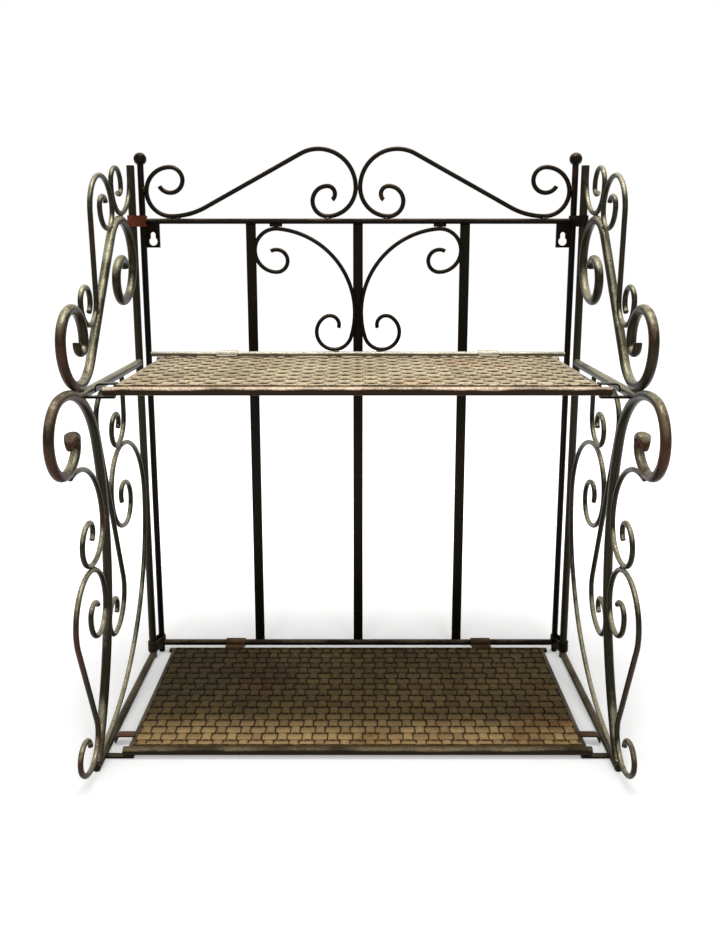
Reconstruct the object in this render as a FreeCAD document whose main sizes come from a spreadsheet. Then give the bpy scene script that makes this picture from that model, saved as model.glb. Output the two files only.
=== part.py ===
import FreeCAD, Part
import os
from math import acos, asin, atan2, cos, degrees, hypot, radians, sin, sqrt

# Folding wall shelf of bent iron rod: a back frame, two scrolled side panels that swing on
# vertical hinges and two shelves that swing up on the rails of the back frame.
# Frame: +Z up, -Y to the front, +X to the right seen from the front. The origin lies on the
# floor under the middle of the overall box. Lengths are millimetres, angles degrees.

SIZES = (
    ("post_spacing", 480.0),
    ("post_diameter", 7.0),
    ("post_height", 577.0),
    ("ball_diameter", 14.0),
    ("top_rail_drop", 61.0),
    ("rail_diameter", 6.0),
    ("bottom_rail_diameter", 7.0),
    ("rail_forward", 1.0),
    ("rail_bite", 0.3),
    ("rail_rise", 4.5),
    ("slat_width", 11.0),
    ("slat_thickness", 2.0),
    ("slat_spacing", 120.0),
    ("crest_rod_diameter", 5.0),
    ("crest_end_radius", 26.5),
    ("crest_swoop_radius", 80.0),
    ("crest_crown_radius", 41.0),
    ("crest_middle_radius", 31.5),
    ("back_scroll_diameter", 4.5),
    ("back_scroll_top_radius", 24.0),
    ("back_scroll_foot_radius", 20.0),
    ("back_scroll_foot_setback", 3.4),
    ("back_scroll_lap", 1.0),
    ("pad_width", 14.0),
    ("pad_height", 3.0),
    ("tab_width", 15.0),
    ("tab_height", 26.0),
    ("tab_thickness", 2.0),
    ("keyhole_diameter", 9.3),
    ("keyhole_slot", 5.6),
    ("stile_diameter", 8.5),
    ("stile_height", 575.0),
    ("stile_outset", 7.0),
    ("stile_forward", 15.0),
    ("strap_thickness", 1.5),
    ("strap_height", 12.0),
    ("strap_gap", 0.3),
    ("hinge_clearance", 0.1),
    ("bar_diameter", 8.0),
    ("arm_diameter", 9.0),
    ("arm_height", 359.0),
    ("heavy_rod_diameter", 9.0),
    ("light_rod_diameter", 5.0),
    ("fishtail_width", 12.0),
    ("fishtail_thickness", 7.0),
    ("fishtail_length", 12.0),
    ("upper_scroll_height", 474.0),
    ("upper_scroll_rear_radius", 42.0),
    ("upper_scroll_front_radius", 40.0),
    ("upper_scroll_reach", 200.0),
    ("leg_setback", 40.0),
    ("leg_shoulder_radius", 78.0),
    ("leg_eye_radius", 33.0),
    ("leg_bow_radius", 360.0),
    ("crown_curl_radius", 40.0),
    ("neck_curl_radius", 35.0),
    ("neck_foot_radius", 22.0),
    ("brace_top_radius", 27.0),
    ("brace_foot_radius", 36.0),
    ("brace_foot_height", 119.0),
    ("drop_curl_radius", 28.0),
    ("drop_curl_setback", 16.0),
    ("eye_curl_radius", 64.0),
    ("foot_scroll_radius", 42.0),
    ("foot_curl_radius", 26.0),
    ("foot_curl_rise", 12.0),
    ("belly_top_radius", 77.0),
    ("shelf_width", 455.0),
    ("shelf_depth", 198.0),
    ("shelf_wall_gap", 13.0),
    ("front_rod_diameter", 8.0),
    ("rear_rod_diameter", 6.0),
    ("side_rod_diameter", 5.0),
    ("side_rod_inset", 6.0),
    ("sheet_thickness", 1.2),
    ("sheet_rise", 2.2),
    ("clip_width", 23.0),
    ("clip_spacing", 298.0),
    ("clip_thickness", 1.5),
    ("clip_lap", 1.5),
    ("hook_width", 8.0),
    ("hook_setback", 22.0),
    ("hook_thickness", 1.5),
    ("hook_bend_radius", 5.0),
    ("hook_leg", 3.0),
    ("hook_gap", 1.2),
    ("ledge_length", 30.0),
    ("ledge_width", 6.0),
    ("ledge_drop", 2.0),
    ("ledge_thickness", 2.0),
    ("rest_gap", 0.3),
)

# Round the bends of a flat scroll: ahead is the front of a side panel, or away from the
# middle of the back frame.
AHEAD = 0.0
ABOVE = 90.0
BEHIND = 180.0
BELOW = 270.0
LEFT_HAND = 1
RIGHT_HAND = -1

WELD_BITE = 0.05
SHORTEST_PIECE = 0.01
CURL_RATIO = 0.52
SIDES = (("left", -1), ("right", 1))

Vector = FreeCAD.Vector
doc = FreeCAD.newDocument("wall_shelf")
sheet = doc.addObject("Spreadsheet::Sheet", "Sizes")
for row, (alias, value) in enumerate(SIZES, start=1):
    sheet.set(f"A{row}", alias)
    sheet.set(f"B{row}", str(value))
    sheet.setAlias(f"B{row}", alias)
doc.recompute()


def size(alias):
    """A driving dimension from the sheet."""
    return float(sheet.get(alias))


def half(alias):
    """Half of a driving dimension: a radius, or an offset from the middle."""
    return size(alias) / 2


class Bend:
    """One round bend in the flat centre line of a rod."""

    def __init__(self, across, up, radius, turn):
        self.across = across
        self.up = up
        self.radius = radius
        self.turn = turn

    def at(self, angle):
        """The point of the bend at an angle round its centre."""
        across = self.across + self.radius * cos(radians(angle))
        up = self.up + self.radius * sin(radians(angle))
        return across, up

    def flowing(self, radius, angle):
        """The bend of another radius into which this one flows at an angle."""
        shift = self.radius - radius
        across = self.across + shift * cos(radians(angle))
        up = self.up + shift * sin(radians(angle))
        return Bend(across, up, radius, self.turn)

    def angle_at(self, normal):
        """The angle round the centre where the rod's left side faces a direction."""
        return normal + 180 if self.turn == LEFT_HAND else normal


def link_normal(first, second):
    """The direction that the left side of the straight between two bends faces."""
    run = second.across - first.across
    rise = second.up - first.up
    spread = second.turn * second.radius - first.turn * first.radius
    ratio = max(-1.0, min(1.0, spread / hypot(run, rise)))
    return degrees(atan2(rise, run) + acos(ratio))


def centre_line(bends, start, end, lead=0.0):
    """Straights (two points) and arcs (three points) through a row of bends.

    The line starts and ends at angles round the first and last bend; a straight lead may
    run into the first bend.
    """
    normals = [link_normal(first, second) for first, second in zip(bends, bends[1:])]
    entries = [start] + [bend.angle_at(way) for bend, way in zip(bends[1:], normals)]
    exits = [bend.angle_at(way) for bend, way in zip(bends, normals)] + [end]
    heading = radians(start + 90 * bends[0].turn)
    across, up = bends[0].at(start)
    here = (across - lead * cos(heading), up - lead * sin(heading))
    pieces = []
    for bend, entry, leave in zip(bends, entries, exits):
        point = bend.at(entry)
        if hypot(point[0] - here[0], point[1] - here[1]) > SHORTEST_PIECE:
            pieces.append((here, point))
            here = point
        sweep = (leave - entry) * bend.turn % 360
        if SHORTEST_PIECE < radians(sweep) * bend.radius and sweep < 359.9:
            middle = bend.at(entry + bend.turn * sweep / 2)
            pieces.append((here, middle, bend.at(leave)))
            here = bend.at(leave)
    return pieces


def leg_of(longest, other):
    """The second short side of a right-angled triangle."""
    return sqrt(longest ** 2 - other ** 2)


def circles_meet(first, first_reach, second, second_reach):
    """The point at two distances from two bends' centres, left of the way between them."""
    run = second.across - first.across
    rise = second.up - first.up
    apart = hypot(run, rise)
    along = (first_reach ** 2 - second_reach ** 2 + apart ** 2) / (2 * apart)
    aside = leg_of(first_reach, along)
    across = first.across + (along * run - aside * rise) / apart
    up = first.up + (along * rise + aside * run) / apart
    return across, up


def bow_between(first, second, touch):
    """The radius of a bow that touches an upright line and flows into two bends beside it."""
    first_gap = first.across - first.radius - touch
    second_gap = second.across - second.radius - touch
    first_rest = first_gap * (2 * first.radius + first_gap)
    second_rest = second_gap * (2 * second.radius + second_gap)
    room = (first.up - second.up) ** 2 + first_rest + second_rest
    slope = 2 * room * (first_gap + second_gap)
    slope -= 4 * (first_gap * second_rest + second_gap * first_rest)
    square = 4 * (first_gap - second_gap) ** 2
    offset = room ** 2 - 4 * first_rest * second_rest
    return offset / (slope + sqrt(slope ** 2 - square * offset))


def edge(piece, to_space):
    """The straight or arc of one piece, placed in space."""
    points = [to_space(across, up) for across, up in piece]
    curve = Part.LineSegment(*points) if len(points) == 2 else Part.Arc(*points)
    return curve.toShape()


def bind(item, **expressions):
    """Ties properties of an object to the sheet."""
    for name, expression in expressions.items():
        item.setExpression(name, expression)
    return item


def bent_rod(name, pieces, to_space, diameter):
    """A round rod swept along a flat centre line."""
    edges = [edge(piece, to_space) for piece in pieces]
    path = doc.addObject("Part::Feature", name + "_path")
    path.Shape = Part.Wire(edges)
    section = doc.addObject("Part::Circle", name + "_section")
    bind(section, Radius=f"Sizes.{diameter} / 2")
    start = edges[0].valueAt(edges[0].FirstParameter)
    tangent = edges[0].tangentAt(edges[0].FirstParameter)
    section.Placement = FreeCAD.Placement(start, FreeCAD.Rotation(Vector(0, 0, 1), tangent))
    rod = doc.addObject("Part::Sweep", name)
    rod.Sections = [section]
    rod.Spine = (path, [f"Edge{number}" for number in range(1, len(edges) + 1)])
    rod.Solid = True
    return rod


def fishtail(name, piece, to_space, at_end):
    """The hammered end of a heavy rod: it runs out flat and wide in the scroll's plane."""
    curve = edge(piece, to_space)
    place = curve.LastParameter if at_end else curve.FirstParameter
    way = curve.tangentAt(place) if at_end else -curve.tangentAt(place)
    wide = way.cross(Vector(1, 0, 0))
    facing = FreeCAD.Rotation(wide, way.cross(wide), way, "ZXY")
    root = bind(
        doc.addObject("Part::Circle", name + "_root"), Radius="Sizes.heavy_rod_diameter / 2"
    )
    root.Placement = FreeCAD.Placement(curve.valueAt(place), facing)
    rim = bind(
        doc.addObject("Part::Ellipse", name + "_rim"),
        MajorRadius="Sizes.fishtail_width / 2",
        MinorRadius="Sizes.fishtail_thickness / 2",
    )
    rim_place = curve.valueAt(place) + way * size("fishtail_length")
    rim.Placement = FreeCAD.Placement(rim_place, facing)
    tail = doc.addObject("Part::Loft", name)
    tail.Sections = [root, rim]
    tail.Solid = True
    return tail


def straight_rod(name, start, way, diameter, length):
    """A round rod from a point along a direction; the length is an expression or a number."""
    rod = bind(doc.addObject("Part::Cylinder", name), Radius=f"Sizes.{diameter} / 2")
    if isinstance(length, str):
        bind(rod, Height=length)
    else:
        rod.Height = length
    rod.Placement = FreeCAD.Placement(start, FreeCAD.Rotation(Vector(0, 0, 1), way))
    return rod


def box(name, corner, length, width, height):
    """A block from its lowest corner; its three lengths are expressions."""
    block = bind(doc.addObject("Part::Box", name), Length=length, Width=width, Height=height)
    block.Placement.Base = corner
    return block


def joined(name, first, second):
    """Two shapes of one piece made one."""
    whole = doc.addObject("Part::Fuse", name)
    whole.Base = first
    whole.Tool = second
    return whole


def fitted(name, item, *neighbours):
    """A piece with its ends cut to the neighbours that it is welded to."""
    for number, neighbour in enumerate(neighbours, start=1):
        last = number == len(neighbours)
        rest = doc.addObject("Part::Cut", name if last else f"{name}_cut_{number}")
        rest.Base = item
        rest.Tool = neighbour
        item = rest
    return item


def group(name, *members):
    """Like pieces that share one node."""
    pieces = doc.addObject("Part::Compound", name)
    pieces.Links = list(members)
    return pieces


def padded(name, loops, placement, length):
    """A flat outline with its holes, padded to a bound thickness."""
    body = doc.addObject("PartDesign::Body", name)
    sketch = body.newObject("Sketcher::SketchObject", name + "_outline")
    sketch.Placement = placement
    for loop in loops:
        for piece in loop:
            points = [Vector(across, up, 0) for across, up in piece]
            curve = Part.LineSegment(*points) if len(points) == 2 else Part.Arc(*points)
            sketch.addGeometry(curve, False)
    pad = body.newObject("PartDesign::Pad", name + "_pad")
    pad.Profile = sketch
    bind(pad, Length=length)
    return body


def corners(*points):
    """The straights round a closed outline."""
    return list(zip(points, points[1:] + points[:1]))


def band(first, second):
    """The closed line round two circles, like a belt."""
    out = link_normal(first, second)
    back = link_normal(second, first)
    start = first.at(first.angle_at(out))
    far = second.at(second.angle_at(out))
    turn = second.at(second.angle_at((out + back) / 2 + (180 if back < out else 0)))
    near = second.at(second.angle_at(back))
    home = first.at(first.angle_at(back))
    close = first.at(first.angle_at((out + back) / 2 + (0 if back < out else 180)))
    return [(start, far), (far, turn, near), (near, home), (home, close, start)]


post_radius = half("post_diameter")
rail_radius = half("rail_diameter")
stile_radius = half("stile_diameter")
bar_radius = half("bar_diameter")
arm_radius = half("arm_diameter")
heavy = half("heavy_rod_diameter")
light = half("light_rod_diameter")
front_rod_radius = half("front_rod_diameter")
rear_rod_radius = half("rear_rod_diameter")
heavy_touch = heavy + light - WELD_BITE
light_touch = 2 * light - WELD_BITE
post_across = half("post_spacing")
stile_across = post_across + size("stile_outset")
arm_height = size("arm_height")

# The two heavy scrolls of a side panel, seen flat: across is the way forward from the axis
# of the stile, up the height above the floor.
upper_rear = Bend(
    stile_radius + heavy - WELD_BITE + size("upper_scroll_rear_radius"),
    size("upper_scroll_height"),
    size("upper_scroll_rear_radius"),
    RIGHT_HAND,
)
upper_rear_inner = upper_rear.flowing(upper_rear.radius * CURL_RATIO, BELOW)
upper_rear_tip = upper_rear_inner.flowing(upper_rear_inner.radius * 0.64, ABOVE)
upper_front = Bend(
    size("upper_scroll_reach"),
    arm_height + arm_radius + heavy - WELD_BITE + size("upper_scroll_front_radius"),
    size("upper_scroll_front_radius"),
    LEFT_HAND,
)
upper_front_inner = upper_front.flowing(upper_front.radius * 0.72, AHEAD)
upper_front_tip = upper_front_inner.flowing(upper_front_inner.radius * 0.42, BEHIND)
upper_bends = (
    upper_rear_tip,
    upper_rear_inner,
    upper_rear,
    upper_front,
    upper_front_inner,
    upper_front_tip,
)
upper_scroll_line = centre_line(upper_bends, 160, 290)

shoulder = Bend(
    upper_front.across + size("leg_setback"),
    upper_front.up - leg_of(
        upper_front.radius + size("leg_shoulder_radius") + 2 * heavy - WELD_BITE,
        size("leg_setback"),
    ),
    size("leg_shoulder_radius"),
    LEFT_HAND,
)
leg_eye = shoulder.flowing(size("leg_eye_radius"), 81)
leg_eye_inner = leg_eye.flowing(leg_eye.radius * 0.42, 220)
leg_bow = shoulder.flowing(size("leg_bow_radius"), 164)
foot_sink = 1.0
foot_angle = 180 + degrees(asin((leg_bow.up - 2 * bar_radius + foot_sink) / leg_bow.radius))
leg_line = centre_line((leg_eye_inner, leg_eye, shoulder, leg_bow), 85, foot_angle)
foot_across = leg_bow.at(foot_angle)[0]
arm_end = shoulder.across - leg_of(shoulder.radius, arm_height - shoulder.up)


def behind_leg(radius, up):
    """How far forward a light bend's centre lies when it touches the back of the leg."""
    return leg_bow.across - leg_of(leg_bow.radius + radius + heavy_touch, up - leg_bow.up)


def before_leg(radius, up):
    """How far forward a light bend's centre lies when it touches the front of the leg."""
    return leg_bow.across - leg_of(leg_bow.radius - radius - heavy_touch, up - leg_bow.up)


# Crown curl: down the top of the stile and round on the upper scroll.
crown_radius = size("crown_curl_radius")
crown_across = stile_radius + light - WELD_BITE + crown_radius
crown = Bend(
    crown_across,
    upper_rear.up + leg_of(
        upper_rear.radius + crown_radius + heavy_touch, crown_across - upper_rear.across
    ),
    crown_radius,
    LEFT_HAND,
)
crown_inner = crown.flowing(crown_radius * 0.7, BELOW)
crown_top = crown_inner.flowing(crown_inner.radius * 0.61, AHEAD)
crown_tip = crown_top.flowing(crown_top.radius * CURL_RATIO, BEHIND)
crown_lead = max(size("stile_height") - 4 - crown.up, 0.0)
crown_line = centre_line((crown, crown_inner, crown_top, crown_tip), BEHIND, 300, crown_lead)

# Neck scroll: its eye rests on the upper scroll's rear roll, its foot on the long straight.
neck_eye_radius = size("neck_curl_radius") * 0.57
neck_reach = upper_rear.radius + neck_eye_radius + heavy_touch
neck_eye = Bend(
    upper_rear.across + neck_reach * cos(radians(50)),
    upper_rear.up + neck_reach * sin(radians(50)),
    neck_eye_radius,
    RIGHT_HAND,
)
neck_top = neck_eye.flowing(size("neck_curl_radius"), 160)
neck_tip = neck_eye.flowing(neck_eye_radius * CURL_RATIO, AHEAD)
upper_normal = link_normal(upper_rear, upper_front)
straight_start = upper_rear.at(upper_rear.angle_at(upper_normal))
straight_end = upper_front.at(upper_front.angle_at(upper_normal))
neck_foot_radius = size("neck_foot_radius")
neck_share = 0.66
neck_stand = neck_foot_radius + heavy_touch
neck_foot = Bend(
    straight_start[0] + neck_share * (straight_end[0] - straight_start[0])
    + neck_stand * cos(radians(upper_normal)),
    straight_start[1] + neck_share * (straight_end[1] - straight_start[1])
    + neck_stand * sin(radians(upper_normal)),
    neck_foot_radius,
    LEFT_HAND,
)
neck_foot_inner = neck_foot.flowing(neck_foot_radius * 0.6, AHEAD)
neck_line = centre_line((neck_tip, neck_eye, neck_top, neck_foot, neck_foot_inner), 150, 230)

# Brace scroll: from under the arm, past the back of the leg, to a curl against the leg.
brace_up = arm_height - arm_radius - light + WELD_BITE - size("brace_top_radius")
brace_top = Bend(
    behind_leg(size("brace_top_radius"), brace_up),
    brace_up,
    size("brace_top_radius"),
    RIGHT_HAND,
)
brace_inner_radius = size("brace_foot_radius") * 0.5
brace_inner = Bend(
    behind_leg(brace_inner_radius, size("brace_foot_height")),
    size("brace_foot_height"),
    brace_inner_radius,
    LEFT_HAND,
)
brace_foot = brace_inner.flowing(size("brace_foot_radius"), BELOW)
brace_tip = brace_inner.flowing(brace_inner_radius * CURL_RATIO, ABOVE)
brace_line = centre_line((brace_top, brace_foot, brace_inner, brace_tip), ABOVE, 230)

# Belly scroll: from the foot of the leg along the bottom bar, up the stile and round.
belly_up = 2 * bar_radius + light - WELD_BITE
belly_end = WELD_BITE + leg_bow.across - leg_of(
    leg_bow.radius + heavy, belly_up + light - leg_bow.up
)
belly_radius = belly_end - (stile_radius + light - WELD_BITE)
belly = Bend(belly_end, belly_up + belly_radius, belly_radius, LEFT_HAND)
belly_top = belly.flowing(size("belly_top_radius"), BEHIND)
brace_normal = link_normal(brace_top, brace_foot)
brace_point = brace_top.at(brace_top.angle_at(brace_normal))
belly_crest = belly_top.up + belly_top.radius
belly_room = (brace_point[0] - belly_top.across) * cos(radians(brace_normal)) + (
    brace_point[1] - belly_crest
) * sin(radians(brace_normal))
belly_front_radius = (belly_room - light_touch) / (1 - sin(radians(brace_normal)))
belly_front = belly_top.flowing(belly_front_radius, ABOVE)
belly_inner = belly_front.flowing(belly_front_radius * CURL_RATIO, BELOW)
belly_tip = belly_inner.flowing(belly_inner.radius * CURL_RATIO, ABOVE)
belly_bends = (belly_tip, belly_inner, belly_front, belly_top, belly)
belly_line = centre_line(belly_bends, 330, BELOW)

# Drop curl: hangs from the arm and rests on the belly scroll.
drop_radius = size("drop_curl_radius")
drop = Bend(
    belly_front.across + size("drop_curl_setback"),
    belly_front.up + leg_of(
        belly_front.radius + drop_radius + light_touch, size("drop_curl_setback")
    ),
    drop_radius,
    LEFT_HAND,
)
drop_inner = drop.flowing(drop_radius * 0.58, BELOW)
drop_tip = drop_inner.flowing(drop_inner.radius * CURL_RATIO, ABOVE)
drop_lead = arm_height - arm_radius + WELD_BITE - drop.up
drop_line = centre_line((drop, drop_inner, drop_tip), BEHIND, 230, drop_lead)

# Eye curl: from under the leg's eye down the front of the leg.
eye_radius = size("eye_curl_radius")
eye_across, eye_up = circles_meet(
    leg_bow,
    leg_bow.radius - eye_radius - heavy_touch,
    leg_eye,
    eye_radius + leg_eye.radius + heavy_touch,
)
eye_curl = Bend(eye_across, eye_up, eye_radius, LEFT_HAND)
eye_low = eye_curl.flowing(eye_radius * CURL_RATIO, BEHIND)
eye_inner = eye_low.flowing(eye_low.radius * 0.6, 300)
eye_tip = eye_inner.flowing(eye_inner.radius * CURL_RATIO, ABOVE)
eye_start = degrees(atan2(leg_eye.up - eye_up, leg_eye.across - eye_across))
eye_line = centre_line((eye_curl, eye_low, eye_inner, eye_tip), eye_start, 230)

# Foot scroll: under the eye curl, down the front of the leg to a curl at the foot.
foot_radius = size("foot_scroll_radius")
foot_across_top, foot_up_top = circles_meet(
    leg_bow,
    leg_bow.radius - foot_radius - heavy_touch,
    eye_low,
    foot_radius + eye_low.radius + light_touch,
)
foot_top = Bend(foot_across_top, foot_up_top, foot_radius, RIGHT_HAND)
foot_eye = foot_top.flowing(foot_radius * CURL_RATIO, 195)
foot_tip = foot_eye.flowing(foot_eye.radius * CURL_RATIO, 10)
foot_curl_radius = size("foot_curl_radius")
foot_curl_up = size("foot_curl_rise") + foot_curl_radius
foot_curl = Bend(
    before_leg(foot_curl_radius, foot_curl_up), foot_curl_up, foot_curl_radius, LEFT_HAND
)
foot_inner = foot_curl.flowing(foot_curl_radius * 0.54, 330)
foot_line = centre_line((foot_tip, foot_eye, foot_top, foot_curl, foot_inner), 150, 170)

# Depth of the whole: from the ball finials and straps to the front of the legs' eyes.
rear_depth = max(post_radius + size("strap_thickness"), half("ball_diameter"))
front_depth = size("stile_forward") + leg_eye.across + leg_eye.radius + heavy
post_y = (front_depth - rear_depth) / 2
stile_y = post_y - size("stile_forward")
rail_y = post_y - size("rail_forward")
slat_front_y = rail_y + rail_radius
bottom_rail_radius = half("bottom_rail_diameter")
bottom_rail_y = slat_front_y - bottom_rail_radius
shelf_rear_y = post_y - size("shelf_wall_gap")
shelf_front_y = shelf_rear_y - size("shelf_depth")
ledge_top = half("ledge_thickness") - size("ledge_drop")
shelf_over_bar = ledge_top + size("rest_gap") + front_rod_radius
upper_shelf_z = arm_height + shelf_over_bar
lower_shelf_z = bar_radius + shelf_over_bar
top_rail_z = size("post_height") - size("top_rail_drop")
middle_rail_z = upper_shelf_z + size("rail_rise")
bottom_rail_z = lower_shelf_z + size("rail_rise")

UP = Vector(0, 0, 1)
FORWARD = Vector(0, -1, 0)
RIGHTWARD = Vector(1, 0, 0)
nodes = []


def keep(*items):
    """Hands pieces in as nodes of the assembly."""
    nodes.extend(items)


def back_frame():
    """Posts, rails, slats, crest and scrolls of the fixed frame."""
    posts = []
    for side, sign in SIDES:
        post = straight_rod(
            f"{side}_post", Vector(sign * post_across, post_y, 0), UP,
            "post_diameter", "Sizes.post_height",
        )
        ball = bind(
            doc.addObject("Part::Sphere", f"{side}_ball_finial"),
            Radius="Sizes.ball_diameter / 2",
            Angle1="-acos(0.94 * Sizes.post_diameter / Sizes.ball_diameter)",
        )
        seat = leg_of(half("ball_diameter"), 0.94 * post_radius)
        ball.Placement.Base = Vector(sign * post_across, post_y, size("post_height") + seat)
        posts.append(post)
        keep(post, ball)
    straps = [hinge_straps(side, sign) for side, sign in SIDES]
    keep(*straps)
    strap_bite = -half("strap_thickness")
    rails = []
    for name, y, z, diameter, holders, bite in (
        ("top_rail", rail_y, top_rail_z, "rail_diameter", straps, strap_bite),
        ("middle_rail", rail_y, middle_rail_z, "rail_diameter", posts, size("rail_bite")),
        ("bottom_rail", bottom_rail_y, bottom_rail_z, "bottom_rail_diameter", straps, strap_bite),
    ):
        reach = post_across - post_radius + bite
        bar = straight_rod(f"{name}_bar", Vector(-reach, y, z), RIGHTWARD, diameter, 2 * reach)
        rails.append(fitted(name, bar, *holders))
    keep(*rails)
    slat_drop = 2.0
    slat_height = top_rail_z - bottom_rail_z + 2 * slat_drop
    for name, place in (("left_slat", -1), ("center_slat", 0), ("right_slat", 1)):
        corner = Vector(
            place * size("slat_spacing") - half("slat_width"),
            slat_front_y - WELD_BITE,
            bottom_rail_z - slat_drop,
        )
        slat = box(name, corner, "Sizes.slat_width", "Sizes.slat_thickness", "1 mm")
        slat.setExpression("Height", None)
        slat.Height = slat_height
        keep(slat)
    crest_scrolls()
    back_scrolls(rails[0])
    for (side, sign), post, strap in zip(SIDES, posts, straps):
        keep(keyhole_tab(side, sign, post, rails[0], strap))


def crest_scrolls():
    """The two scrolls that stand on the top rail and meet in the middle."""
    radius = half("crest_rod_diameter")
    base = top_rail_z + rail_radius + radius - WELD_BITE
    post_touch = leg_of(post_radius + radius - WELD_BITE, size("rail_forward"))
    end_radius = size("crest_end_radius")
    middle_radius = size("crest_middle_radius")
    end = Bend(post_across - post_touch - end_radius, base + end_radius, end_radius, RIGHT_HAND)
    end_eye = end.flowing(end_radius * CURL_RATIO, ABOVE)
    swoop = end.flowing(size("crest_swoop_radius"), BELOW)
    middle = Bend(
        middle_radius + radius - WELD_BITE / 2, base + middle_radius, middle_radius, LEFT_HAND
    )
    crown_arch = middle.flowing(size("crest_crown_radius"), BEHIND)
    middle_inner = middle.flowing(middle_radius * CURL_RATIO, BELOW)
    middle_tip = middle_inner.flowing(middle_inner.radius * CURL_RATIO, ABOVE)
    bends = (end_eye, end, swoop, crown_arch, middle, middle_inner, middle_tip)
    line = centre_line(bends, 330, 230)
    for side, sign in SIDES:
        keep(bent_rod(
            f"{side}_crest_scroll", line,
            lambda across, up, sign=sign: Vector(sign * across, rail_y, up),
            "crest_rod_diameter",
        ))


def back_scrolls(top_rail):
    """The two C scrolls between the top and the middle rail, with their pads."""
    radius = half("back_scroll_diameter")
    y = slat_front_y - radius
    top_radius = size("back_scroll_top_radius")
    foot_scroll = size("back_scroll_foot_radius")
    pad_under = top_rail_z - rail_radius - size("pad_height")
    top = Bend(
        size("slat_spacing") - half("slat_width") + size("back_scroll_lap") - top_radius,
        pad_under - radius - top_radius + WELD_BITE,
        top_radius,
        LEFT_HAND,
    )
    slat_touch = half("slat_width") * 0.68
    foot = Bend(
        slat_touch + size("back_scroll_foot_setback") + foot_scroll,
        middle_rail_z + rail_radius + radius + foot_scroll - WELD_BITE,
        foot_scroll,
        LEFT_HAND,
    )
    bow_radius = bow_between(top, foot, slat_touch)
    bow_across = slat_touch + bow_radius
    bow = Bend(
        bow_across,
        top.up - leg_of(bow_radius - top_radius, bow_across - top.across),
        bow_radius,
        LEFT_HAND,
    )
    top_eye = top.flowing(top_radius * CURL_RATIO, BELOW)
    foot_eye_bend = foot.flowing(foot_scroll * CURL_RATIO, 60)
    line = centre_line((top_eye, top, bow, foot, foot_eye_bend), 60, 200)
    pads = []
    for side, sign in SIDES:
        keep(bent_rod(
            f"{side}_back_scroll", line,
            lambda across, up, sign=sign: Vector(sign * across, y, up),
            "back_scroll_diameter",
        ))
        corner = Vector(
            sign * top.across - half("pad_width"), y - half("pad_height"), pad_under
        )
        block = box(
            f"{side}_pad_block", corner,
            "Sizes.pad_width", "Sizes.pad_height", "Sizes.pad_height + Sizes.rail_diameter / 4",
        )
        pads.append(fitted(f"{side}_pad", block, top_rail))
    keep(group("scroll_pads", *pads))


def keyhole_tab(side, sign, *neighbours):
    """A hanging tab in the corner of a post and the top rail, with a keyhole."""
    width = size("tab_width")
    top = top_rail_z - rail_radius / 2
    low = top_rail_z - rail_radius - size("tab_height")
    near = post_across - post_radius / 2
    far = post_across - post_radius - width
    centre = post_across - post_radius - width / 2
    radius = half("keyhole_diameter")
    slot = half("keyhole_slot")
    hole_up = low + radius + 2.2
    shoulder_up = hole_up + leg_of(radius, slot)
    slot_up = hole_up + radius + slot
    outline = corners(
        (sign * far, low), (sign * near, low), (sign * near, top), (sign * far, top)
    )
    middle = sign * centre
    keyhole = [
        ((middle - slot, shoulder_up), (middle, hole_up - radius), (middle + slot, shoulder_up)),
        ((middle + slot, shoulder_up), (middle + slot, slot_up)),
        ((middle + slot, slot_up), (middle, slot_up + slot), (middle - slot, slot_up)),
        ((middle - slot, slot_up), (middle - slot, shoulder_up)),
    ]
    facing = FreeCAD.Rotation(Vector(1, 0, 0), 90)
    place = FreeCAD.Placement(Vector(0, post_y + half("tab_thickness"), 0), facing)
    plate = padded(f"{side}_tab_plate", (outline, keyhole), place, "Sizes.tab_thickness")
    return fitted(f"{side}_keyhole_tab", plate, *neighbours)


def hinge_straps(side, sign):
    """Two bands, welded round the post, in which the stile turns."""
    wall = size("strap_thickness")
    post_hole = Bend(sign * post_across, post_y, post_radius, LEFT_HAND)
    turning = stile_radius + size("hinge_clearance")
    stile_hole = Bend(sign * stile_across, stile_y, turning, LEFT_HAND)
    post_skin = Bend(sign * post_across, post_y, post_radius + wall, LEFT_HAND)
    stile_skin = Bend(sign * stile_across, stile_y, turning + wall, LEFT_HAND)
    loops = (band(post_skin, stile_skin), band(post_hole, stile_hole))
    low_strap = 2 * bar_radius + size("strap_gap")
    high_strap = top_rail_z - half("strap_height")
    straps = []
    for level, z in (("lower", low_strap), ("upper", high_strap)):
        place = FreeCAD.Placement(Vector(0, 0, z), FreeCAD.Rotation())
        straps.append(padded(f"{side}_{level}_strap", loops, place, "Sizes.strap_height"))
    return group(f"{side}_hinge_straps", *straps)


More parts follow.
